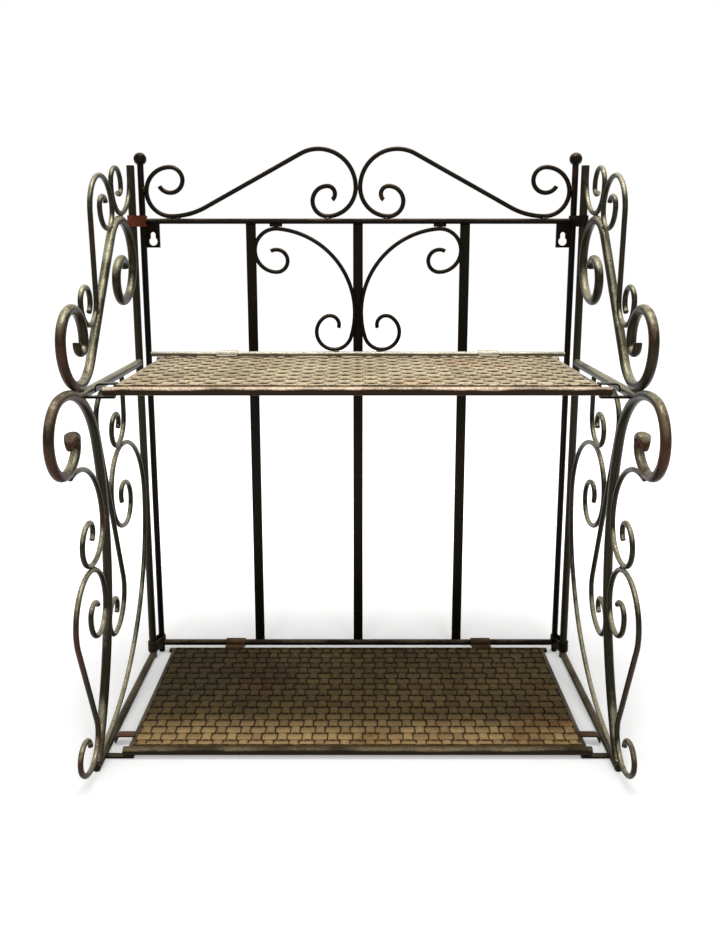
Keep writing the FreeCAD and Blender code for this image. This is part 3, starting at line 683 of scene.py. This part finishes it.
    def lay_lip(self, mesh: bmesh.types.BMesh, way: int) -> None:
        """Lays the dented lip where the sheet is crimped on the front or rear rod; its edge at
        the rod is painted darkest, a painted shadow line.

        Args:
            mesh: The mesh that takes the lip.
            way: 1 for the front rod, -1 for the rear rod.
        """
        low, high = self.field()
        edge = low.y if way > 0 else high.y
        rise = self.lip_rise * (1.0 if way > 0 else self.rear_share)
        relief = mesh.verts.layers.float["relief"]
        centre = Vector((0.0, edge + way * self.lip_depth / 2, high.z))
        stretch = Matrix.Diagonal((high.x - low.x, self.lip_depth, 1.0)).to_4x4()
        laid = bmesh.ops.create_grid(
            mesh,
            x_segments=self.lip_steps,
            y_segments=3,
            size=0.5,
            matrix=Matrix.Translation(centre) @ stretch,
        )["verts"]
        for vert in laid:
            ahead = 0.5 - way * (vert.co.y - centre.y) / self.lip_depth
            dent = noise.noise(Vector((vert.co.x * 34.0, 2.0, low.z * 9.0)))
            burr = noise.noise(Vector((vert.co.x * 160.0, 5.0, low.z * 9.0)))
            front = ahead > self.lip_face
            crest = 0.0 if front else min(2.4 * ahead, 1.0)
            vert.co.z += rise * crest * (1.0 + 0.5 * max(dent, 0.0) + 0.2 * burr)
            vert.co.y += way * self.wander * burr
            # Painted shadow: the lip's edge at the rod takes the darkest value, a dark line
            # between sheet and rod.
            vert[relief] = -1.0 if front else 0.5 + burr

    def build(self) -> bpy.types.Object:
        """Weaves the panel.

        Returns:
            The woven panel.
        """
        mesh = bmesh.new()
        mesh.verts.layers.float.new("relief")
        mesh.verts.layers.float.new("strip_tone")
        self.close_corners(mesh)
        self.weave_run(mesh, self.deep_strips, self.cross_strips, False)
        self.weave_run(mesh, self.cross_strips, self.deep_strips, True)
        self.lay_lip(mesh, 1)
        self.lay_lip(mesh, -1)
        for face in mesh.faces:
            if face.normal.z < 0:
                face.normal_flip()
            face.smooth = True
        panel = linked(f"{self.name}_weave", mesh)
        thick = panel.modifiers.new("strip_thickness", "SOLIDIFY")
        thick.thickness = self.strip_thickness
        thick.offset = -1.0
        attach(panel, self.name)
        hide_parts(self.node)
        LOG.info("%s has %d strips", panel.name, self.deep_strips + self.cross_strips)
        return panel

    def dress(self, nodes: dict[str, bpy.types.Object]) -> None:
        """Gives the rods, clips, hooks and strips their finishes.

        Args:
            nodes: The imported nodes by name.
        """
        self.weave.dress(self.build(), nodes[self.node])
        for rod in ("front_rod", "rear_rod", "side_rods"):
            self.rod.dress(nodes[f"{self.name}_{rod}"])
        self.clip.dress(nodes[f"{self.name}_hinge_clips"])
        self.hook.dress(nodes[f"{self.name}_corner_hooks"])


@dataclass
class Welds:
    """The weld beads of one body, laid where its rods touch.

    Attributes:
        body: The body that carries the beads.
        pairs: Names of the nodes that touch, two and two.
        flat: The direction across the flat of the scrollwork.
        bead: Half length, half height and half width of a bead.
        reach: How far from the other rod a touch is looked for.
        contact: Widest gap at a touch.
        apart: Least distance between two beads.
        rounds: How often the search goes from rod to rod and back.
        lumps: Lumps of a bead for each metre.
        lump_size: How far a lump stands out, as a share of the bead.
    """

    body: str
    pairs: tuple[tuple[str, str], ...]
    flat: Vector
    bead: Vector
    reach: float = 1.6 * MM
    contact: float = 0.3 * MM
    apart: float = 9.0 * MM
    rounds: int = 6
    lumps: float = 420.0
    lump_size: float = 0.2

    def touches(
        self, first: bpy.types.Object, second: bpy.types.Object
    ) -> list[tuple[Vector, Vector]]:
        """Finds where two rods touch.

        Args:
            first: One rod.
            second: The other rod.

        Returns:
            A place and the direction from rod to rod for each touch.
        """
        skins = []
        for rod in (first, second):
            places = [vert.co.copy() for vert in rod.data.vertices]
            faces = [tuple(face.vertices) for face in rod.data.polygons]
            skins.append(BVHTree.FromPolygons(places, faces))
        low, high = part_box(second.name)
        margin = Vector((self.reach,) * 3)
        found: list[tuple[Vector, Vector]] = []
        for vert in first.data.vertices:
            if any(
                vert.co[way] < low[way] - margin[way] or vert.co[way] > high[way] + margin[way]
                for way in range(3)
            ):
                continue
            place = skins[1].find_nearest(vert.co, self.reach)[0]
            if place is None:
                continue
            for _ in range(self.rounds):
                back = skins[0].find_nearest(place)[0]
                place, normal, _, gap = skins[1].find_nearest(back)
            alone = all((place - other).length > self.apart for other, _ in found)
            if gap < self.contact and alone:
                found.append((place, normal))
        return found

    def build(self, nodes: dict[str, bpy.types.Object]) -> bpy.types.Object:
        """Lays the beads.

        Args:
            nodes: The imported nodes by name.

        Returns:
            All beads of the body as one piece.
        """
        mesh = bmesh.new()
        count = 0
        for first, second in self.pairs:
            for place, normal in self.touches(nodes[first], nodes[second]):
                way = normal.cross(self.flat)
                if way.length < 0.1:
                    continue
                way.normalize()
                turn = Matrix((way, self.flat, way.cross(self.flat))).transposed().to_4x4()
                laid = bmesh.ops.create_icosphere(
                    mesh,
                    subdivisions=3,
                    radius=1.0,
                    matrix=Matrix.Translation(place) @ turn @ Matrix.Diagonal(self.bead).to_4x4(),
                )["verts"]
                for vert in laid:
                    lump = noise.noise(vert.co * self.lumps)
                    vert.co = place + (vert.co - place) * (1.0 + self.lump_size * lump)
                count += 1
        LOG.info("%s has %d weld beads", self.body, count)
        beads = finished(f"{self.body}_weld_beads", mesh, self.body)
        Finish.BEAD.dress(beads)
        return beads


@dataclass
class RolledEnd:
    """The forged end of a heavy scroll: its last curl, cut off and rolled up tight.

    Attributes:
        node: Name of the scroll.
        body: The body that carries it.
        curl: Centre of the curl that is cut, as its place along Y and Z.
        curl_radius: Radius of the curl's centre line.
        climb: 1 where the rod runs upwards at the cut, -1 where it runs down.
        lead: Straight run from the cut to the roll.
        roll_radius: Radius of the roll's centre line.
        turn: How far the rod is rolled, in degrees.
        wide: Share of the rod's width at the start, middle and end of the roll.
        thick: Share of the rod's thickness at the same places.
        slack: How far past the curl the cut may reach.
        round_off: Rounding of the rod's end.
        steps: Mesh steps along the roll.
    """

    node: str
    body: str
    curl: tuple[float, float]
    curl_radius: float
    climb: int
    lead: float
    roll_radius: float
    turn: float
    wide: tuple[float, float, float]
    thick: tuple[float, float, float]
    slack: float = 4.0 * MM
    round_off: float = 0.5 * MM
    steps: int = 18

    def share(self, stages: tuple[float, float, float], done: float) -> float:
        """A share between the stages of the roll.

        Args:
            stages: Share at the start, middle and end.
            done: How much of the roll is done, 0 to 1.

        Returns:
            The share there.
        """
        first = 0 if done < 0.5 else 1
        return stages[first] + (stages[first + 1] - stages[first]) * (2 * done - first)

    def cut_curl(self, mesh: bmesh.types.BMesh, cut: Vector) -> list[bmesh.types.BMEdge]:
        """Cuts the old curl off.

        Args:
            mesh: The scroll.
            cut: Middle of the rod at the cut.

        Returns:
            The open ring at the cut.
        """
        centre = Vector((cut.x, *self.curl))
        reach = 2 * self.curl_radius + self.slack
        near = [
            face
            for face in mesh.faces
            if all((vert.co - centre).length < reach for vert in face.verts)
            and self.climb * (face.calc_center_median().z - centre.z) > -self.slack
        ]
        parts = {part for face in near for part in (face, *face.edges, *face.verts)}
        bmesh.ops.bisect_plane(
            mesh,
            geom=list(parts),
            dist=0.001 * MM,
            plane_co=cut,
            plane_no=(0.0, 0.0, self.climb),
            clear_outer=True,
        )
        return [edge for edge in mesh.edges if edge.is_boundary]

    def build(self, nodes: dict[str, bpy.types.Object]) -> bpy.types.Object:
        """Rolls the end.

        Args:
            nodes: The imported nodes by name.

        Returns:
            The scroll with its rolled end.
        """
        mesh = bmesh.new()
        mesh.from_mesh(nodes[self.node].data)
        bmesh.ops.remove_doubles(mesh, verts=mesh.verts[:], dist=0.01 * MM)
        low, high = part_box(self.node)
        cut = Vector(((low.x + high.x) / 2, self.curl[0] + self.curl_radius, self.curl[1]))
        ring = self.cut_curl(mesh, cut)
        middle = cut + Vector((0.0, 0.0, self.climb * self.lead))
        pivot = middle - Vector((0.0, self.roll_radius, 0.0))
        bend = Matrix.Rotation(self.climb * math.radians(self.turn) / self.steps, 3, "X")
        for step in range(self.steps + 1):
            grown = bmesh.ops.extrude_edge_only(mesh, edges=ring)["geom"]
            verts = [part for part in grown if isinstance(part, bmesh.types.BMVert)]
            ring = [
                part
                for part in grown
                if isinstance(part, bmesh.types.BMEdge) and part.is_boundary
            ]
            if step == 0:
                bmesh.ops.translate(mesh, verts=verts, vec=middle - cut)
                continue
            bmesh.ops.rotate(mesh, verts=verts, cent=pivot, matrix=bend)
            middle = pivot + bend @ (middle - pivot)
            outward = (middle - pivot).normalized()
            done, before = step / self.steps, (step - 1) / self.steps
            widen = self.share(self.wide, done) / self.share(self.wide, before) - 1
            fatten = self.share(self.thick, done) / self.share(self.thick, before) - 1
            for vert in verts:
                offset = vert.co - middle
                vert.co.x += widen * offset.x
                vert.co += fatten * offset.dot(outward) * outward
        bmesh.ops.contextual_create(mesh, geom=ring)
        bmesh.ops.bevel(
            mesh,
            geom=ring,
            offset=self.round_off,
            affect="EDGES",
            segments=2,
            profile=0.5,
            material=-1,
        )
        piece = finished(f"{self.node}_rolled", mesh, self.body)
        piece.data.set_sharp_from_angle(angle=math.radians(40))
        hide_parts(self.node)
        return piece


@dataclass
class SidePanel:
    """One scrolled side panel.

    Attributes:
        side: The side that it stands on.
    """

    side: Side

    @property
    def body(self) -> str:
        """Name of the panel's body."""
        return self.side.named("side")

    def dress(self, nodes: dict[str, bpy.types.Object]) -> None:
        """Gives the rods their finish and lays the welds.

        Args:
            nodes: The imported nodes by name.
        """
        rods = (
            "stile", "arm", "upper_scroll", "leg_scroll", "crown_curl", "neck_scroll",
            "brace_scroll", "drop_curl", "eye_curl", "foot_scroll", "belly_scroll",
        )
        Finish.PANEL_IRON.dress(*(nodes[self.side.named(rod)] for rod in rods))
        Finish.LOWER_ROD.dress(nodes[self.side.named("bottom_bar")])
        Finish.BACK_IRON.dress(nodes[self.side.named("shelf_ledges")])
        leg_end = RolledEnd(
            self.side.named("leg_scroll"),
            self.body,
            curl=(-101.11 * MM, 319.61 * MM),
            curl_radius=13.86 * MM,
            climb=1,
            lead=1.3 * MM,
            roll_radius=8.0 * MM,
            turn=205.0,
            wide=(1.0, 1.45, 0.6),
            thick=(0.95, 0.65, 0.45),
        )
        upper_end = RolledEnd(
            self.side.named("upper_scroll"),
            self.body,
            curl=(-63.23 * MM, 407.95 * MM),
            curl_radius=12.1 * MM,
            climb=-1,
            lead=3.0 * MM,
            roll_radius=9.0 * MM,
            turn=190.0,
            wide=(0.95, 0.85, 0.8),
            thick=(0.95, 0.75, 0.7),
        )
        Finish.PANEL_IRON.dress(leg_end.build(nodes), upper_end.build(nodes))
        pairs = (
            ("upper_scroll", "stile"), ("upper_scroll", "arm"), ("upper_scroll", "leg_scroll"),
            ("crown_curl", "stile"), ("crown_curl", "upper_scroll"),
            ("neck_scroll", "upper_scroll"), ("brace_scroll", "arm"),
            ("brace_scroll", "leg_scroll"), ("belly_scroll", "stile"),
            ("belly_scroll", "bottom_bar"), ("belly_scroll", "brace_scroll"),
            ("drop_curl", "belly_scroll"), ("eye_curl", "leg_scroll"),
            ("foot_scroll", "eye_curl"), ("foot_scroll", "leg_scroll"),
        )
        Welds(
            self.body,
            tuple((self.side.named(one), self.side.named(other)) for one, other in pairs),
            flat=Vector((1.0, 0.0, 0.0)),
            bead=Vector((3.6, 2.5, 1.7)) * MM,
        ).build(nodes)


@dataclass
class BackFrame:
    """The fixed frame that hangs on the wall.

    Attributes:
        body: Name of the frame's body.
    """

    body: str = "back_frame"

    def dress(self, nodes: dict[str, bpy.types.Object]) -> None:
        """Gives the frame its finishes and lays the welds.

        Args:
            nodes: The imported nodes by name.
        """
        plain = ["bottom_rail", "top_rail", "center_slat", "scroll_pads"]
        for side in Side:
            for piece in (
                "post", "ball_finial", "slat", "crest_scroll", "back_scroll", "keyhole_tab"
            ):
                plain.append(side.named(piece))
        Finish.BACK_IRON.dress(*(nodes[name] for name in plain))
        Finish.RAIL_IRON.dress(nodes["middle_rail"])
        Finish.STRAP.dress(nodes["left_hinge_straps"])
        Finish.BACK_IRON.dress(nodes["right_hinge_straps"])
        pairs = [("left_crest_scroll", "right_crest_scroll")]
        for side in Side:
            pairs.append((side.named("crest_scroll"), "top_rail"))
            pairs.append((side.named("crest_scroll"), side.named("post")))
            pairs.append((side.named("back_scroll"), "middle_rail"))
        Welds(
            self.body,
            tuple(pairs),
            flat=Vector((0.0, 1.0, 0.0)),
            bead=Vector((3.2, 2.4, 1.6)) * MM,
        ).build(nodes)


@dataclass
class Studio:
    """The floor, the light and the camera.

    Attributes:
        floor_radius: Radius of the round floor.
        eye: Place of the camera.
        pitch: How far the camera looks down, in degrees.
        lens: Focal length on a sensor 36 mm high.
        frame_shift: Share of the picture's height that the frame is moved up.
        lamps: Place, size and power of each lamp.
        aim: Place that the lamps point at.
        footprint: Half width and half depth of the floor that the object shades.
        fade: How far from there the floor has run out into white.
        shaded: Own light of the floor under the object.
        room: Light that comes back from the camera's side of the room.
        ambient: Light that comes from all round.
    """

    floor_radius: float = 7.0
    eye: tuple[float, float, float] = (0.0023, -0.7864, 0.496)
    pitch: float = 10.11
    lens: float = 31.81
    frame_shift: float = -0.0844
    lamps: tuple[tuple[tuple[float, float, float], float, float], ...] = (
        ((-1.6, -0.9, 1.2), 1.0, 6.0),
        ((1.6, -0.9, 1.2), 1.0, 5.0),
        ((0.0, -0.2, 2.1), 1.4, 38.0),
        ((-0.6, -1.8, 1.2), 0.6, 11.0),
        ((0.6, -1.8, 1.2), 0.6, 10.0),
    )
    aim: tuple[float, float, float] = (0.0, 0.0, 0.28)
    footprint: tuple[float, float, float] = (0.25, 0.16, 0.0)
    fade: float = 0.4
    shaded: float = 0.25
    room: float = 0.1
    ambient: float = 0.06

    def lay_floor(self) -> None:
        """Lays a pale floor that runs out into white."""
        mesh = bmesh.new()
        bmesh.ops.create_circle(mesh, cap_ends=True, segments=96, radius=self.floor_radius)
        floor = linked("studio_floor", mesh)
        recipe = Recipe("studio_floor_white")
        tint = recipe.cloud(3.0, 2.0)
        colour = recipe.blend(tint, paint(236, 236, 235), paint(242, 242, 241))
        recipe.plug(colour, recipe.shader.inputs["Base Color"])
        recipe.shader.inputs["Roughness"].default_value = 0.8
        place = recipe.place
        for operation, amount in (
            ("ABSOLUTE", None), ("SUBTRACT", self.footprint), ("MAXIMUM", (0.0, 0.0, 0.0))
        ):
            node = recipe.tree.nodes.new("ShaderNodeVectorMath")
            node.operation = operation
            recipe.plug(place, node.inputs[0])
            if amount:
                node.inputs[1].default_value = amount
            place = node.outputs["Vector"]
        length = recipe.tree.nodes.new("ShaderNodeVectorMath")
        length.operation = "LENGTH"
        recipe.plug(place, length.inputs[0])
        path = recipe.tree.nodes.new("ShaderNodeLightPath")
        seen = path.outputs["Is Camera Ray"]
        for ray in ("Is Glossy Ray", "Is Transmission Ray"):
            seen = recipe.work("MAXIMUM", seen, path.outputs[ray])
        far = recipe.span(length.outputs["Value"], 0.0, self.fade, self.shaded, 1.0)
        recipe.shader.inputs["Emission Color"].default_value = (1.0, 1.0, 1.0, 1.0)
        recipe.plug(recipe.work("MULTIPLY", seen, far), recipe.shader.inputs["Emission Strength"])
        floor.data.materials.append(recipe.material)

    def light_world(self) -> None:
        """Makes a white surround for the camera and a soft one for the light."""
        world = bpy.data.worlds.new("studio_surround")
        bpy.context.scene.world = world
        world.use_nodes = True
        tree = world.node_tree
        tree.nodes.clear()
        out = tree.nodes.new("ShaderNodeOutputWorld")
        white, mirrored, soft = (tree.nodes.new("ShaderNodeBackground") for _ in range(3))
        white.inputs["Color"].default_value = (1.0, 1.0, 1.0, 1.0)
        soft.inputs["Color"].default_value = (1.0, 1.0, 1.0, 1.0)
        soft.inputs["Strength"].default_value = self.ambient
        way = tree.nodes.new("ShaderNodeTexCoord")
        split = tree.nodes.new("ShaderNodeSeparateXYZ")
        behind = tree.nodes.new("ShaderNodeMapRange")
        behind.interpolation_type = "SMOOTHSTEP"
        behind.inputs["From Min"].default_value = -0.3
        behind.inputs["From Max"].default_value = 0.5
        behind.inputs["To Min"].default_value = self.room
        tree.links.new(way.outputs["Generated"], split.inputs[0])
        tree.links.new(split.outputs["Y"], behind.inputs["Value"])
        tree.links.new(behind.outputs["Result"], mirrored.inputs["Color"])
        path = tree.nodes.new("ShaderNodeLightPath")
        kept = soft.outputs[0]
        for ray, shown in (
            ("Is Glossy Ray", mirrored), ("Is Transmission Ray", white), ("Is Camera Ray", white)
        ):
            mix = tree.nodes.new("ShaderNodeMixShader")
            tree.links.new(path.outputs[ray], mix.inputs["Fac"])
            tree.links.new(kept, mix.inputs[1])
            tree.links.new(shown.outputs[0], mix.inputs[2])
            kept = mix.outputs[0]
        tree.links.new(kept, out.inputs["Surface"])

    def hang_lamps(self) -> None:
        """Hangs the soft lamps round the object."""
        target = Vector(self.aim)
        for number, (place, size, power) in enumerate(self.lamps, start=1):
            data = bpy.data.lights.new(f"softbox_{number}", "AREA")
            data.size = size
            data.energy = power
            lamp = bpy.data.objects.new(f"softbox_{number}", data)
            lamp.location = place
            lamp.rotation_euler = (target - Vector(place)).to_track_quat("-Z", "Y").to_euler()
            bpy.context.scene.collection.objects.link(lamp)

    def stand_camera(self) -> None:
        """Stands the camera where the photograph was taken from."""
        data = bpy.data.cameras.new("photo_camera")
        data.lens = self.lens
        data.sensor_width = 36.0
        data.shift_y = self.frame_shift
        data.clip_start = 0.01
        camera = bpy.data.objects.new("photo_camera", data)
        camera.location = self.eye
        camera.rotation_euler = (math.radians(90 - self.pitch), 0.0, 0.0)
        bpy.context.scene.collection.objects.link(camera)
        bpy.context.scene.camera = camera

    def build(self) -> None:
        """Sets up floor, light, camera and view."""
        self.lay_floor()
        self.light_world()
        self.hang_lamps()
        self.stand_camera()
        bpy.context.scene.view_settings.view_transform = "Standard"
        LOG.info("studio stands")


def main() -> None:
    """Loads the frame, dresses every piece and sets up the studio."""
    logging.basicConfig(level=logging.INFO, format="%(message)s")
    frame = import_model()
    nodes = frame["nodes"]
    BackFrame().dress(nodes)
    for side in Side:
        SidePanel(side).dress(nodes)
    WovenShelf(
        "upper_shelf", Finish.UPPER_WEAVE, Finish.UPPER_ROD, Finish.RAIL_IRON,
        Finish.BACK_IRON, "upper_sheet", least_dip_light=0.6, dive_shade=1.1,
    ).dress(nodes)
    WovenShelf(
        "lower_shelf", Finish.LOWER_WEAVE, Finish.LOWER_ROD, Finish.FITTING,
        Finish.FITTING, "lower_sheet", least_dip_light=-0.2, dive_shade=0.5,
    ).dress(nodes)
    Studio().build()


if __name__ == "__main__":
    main()
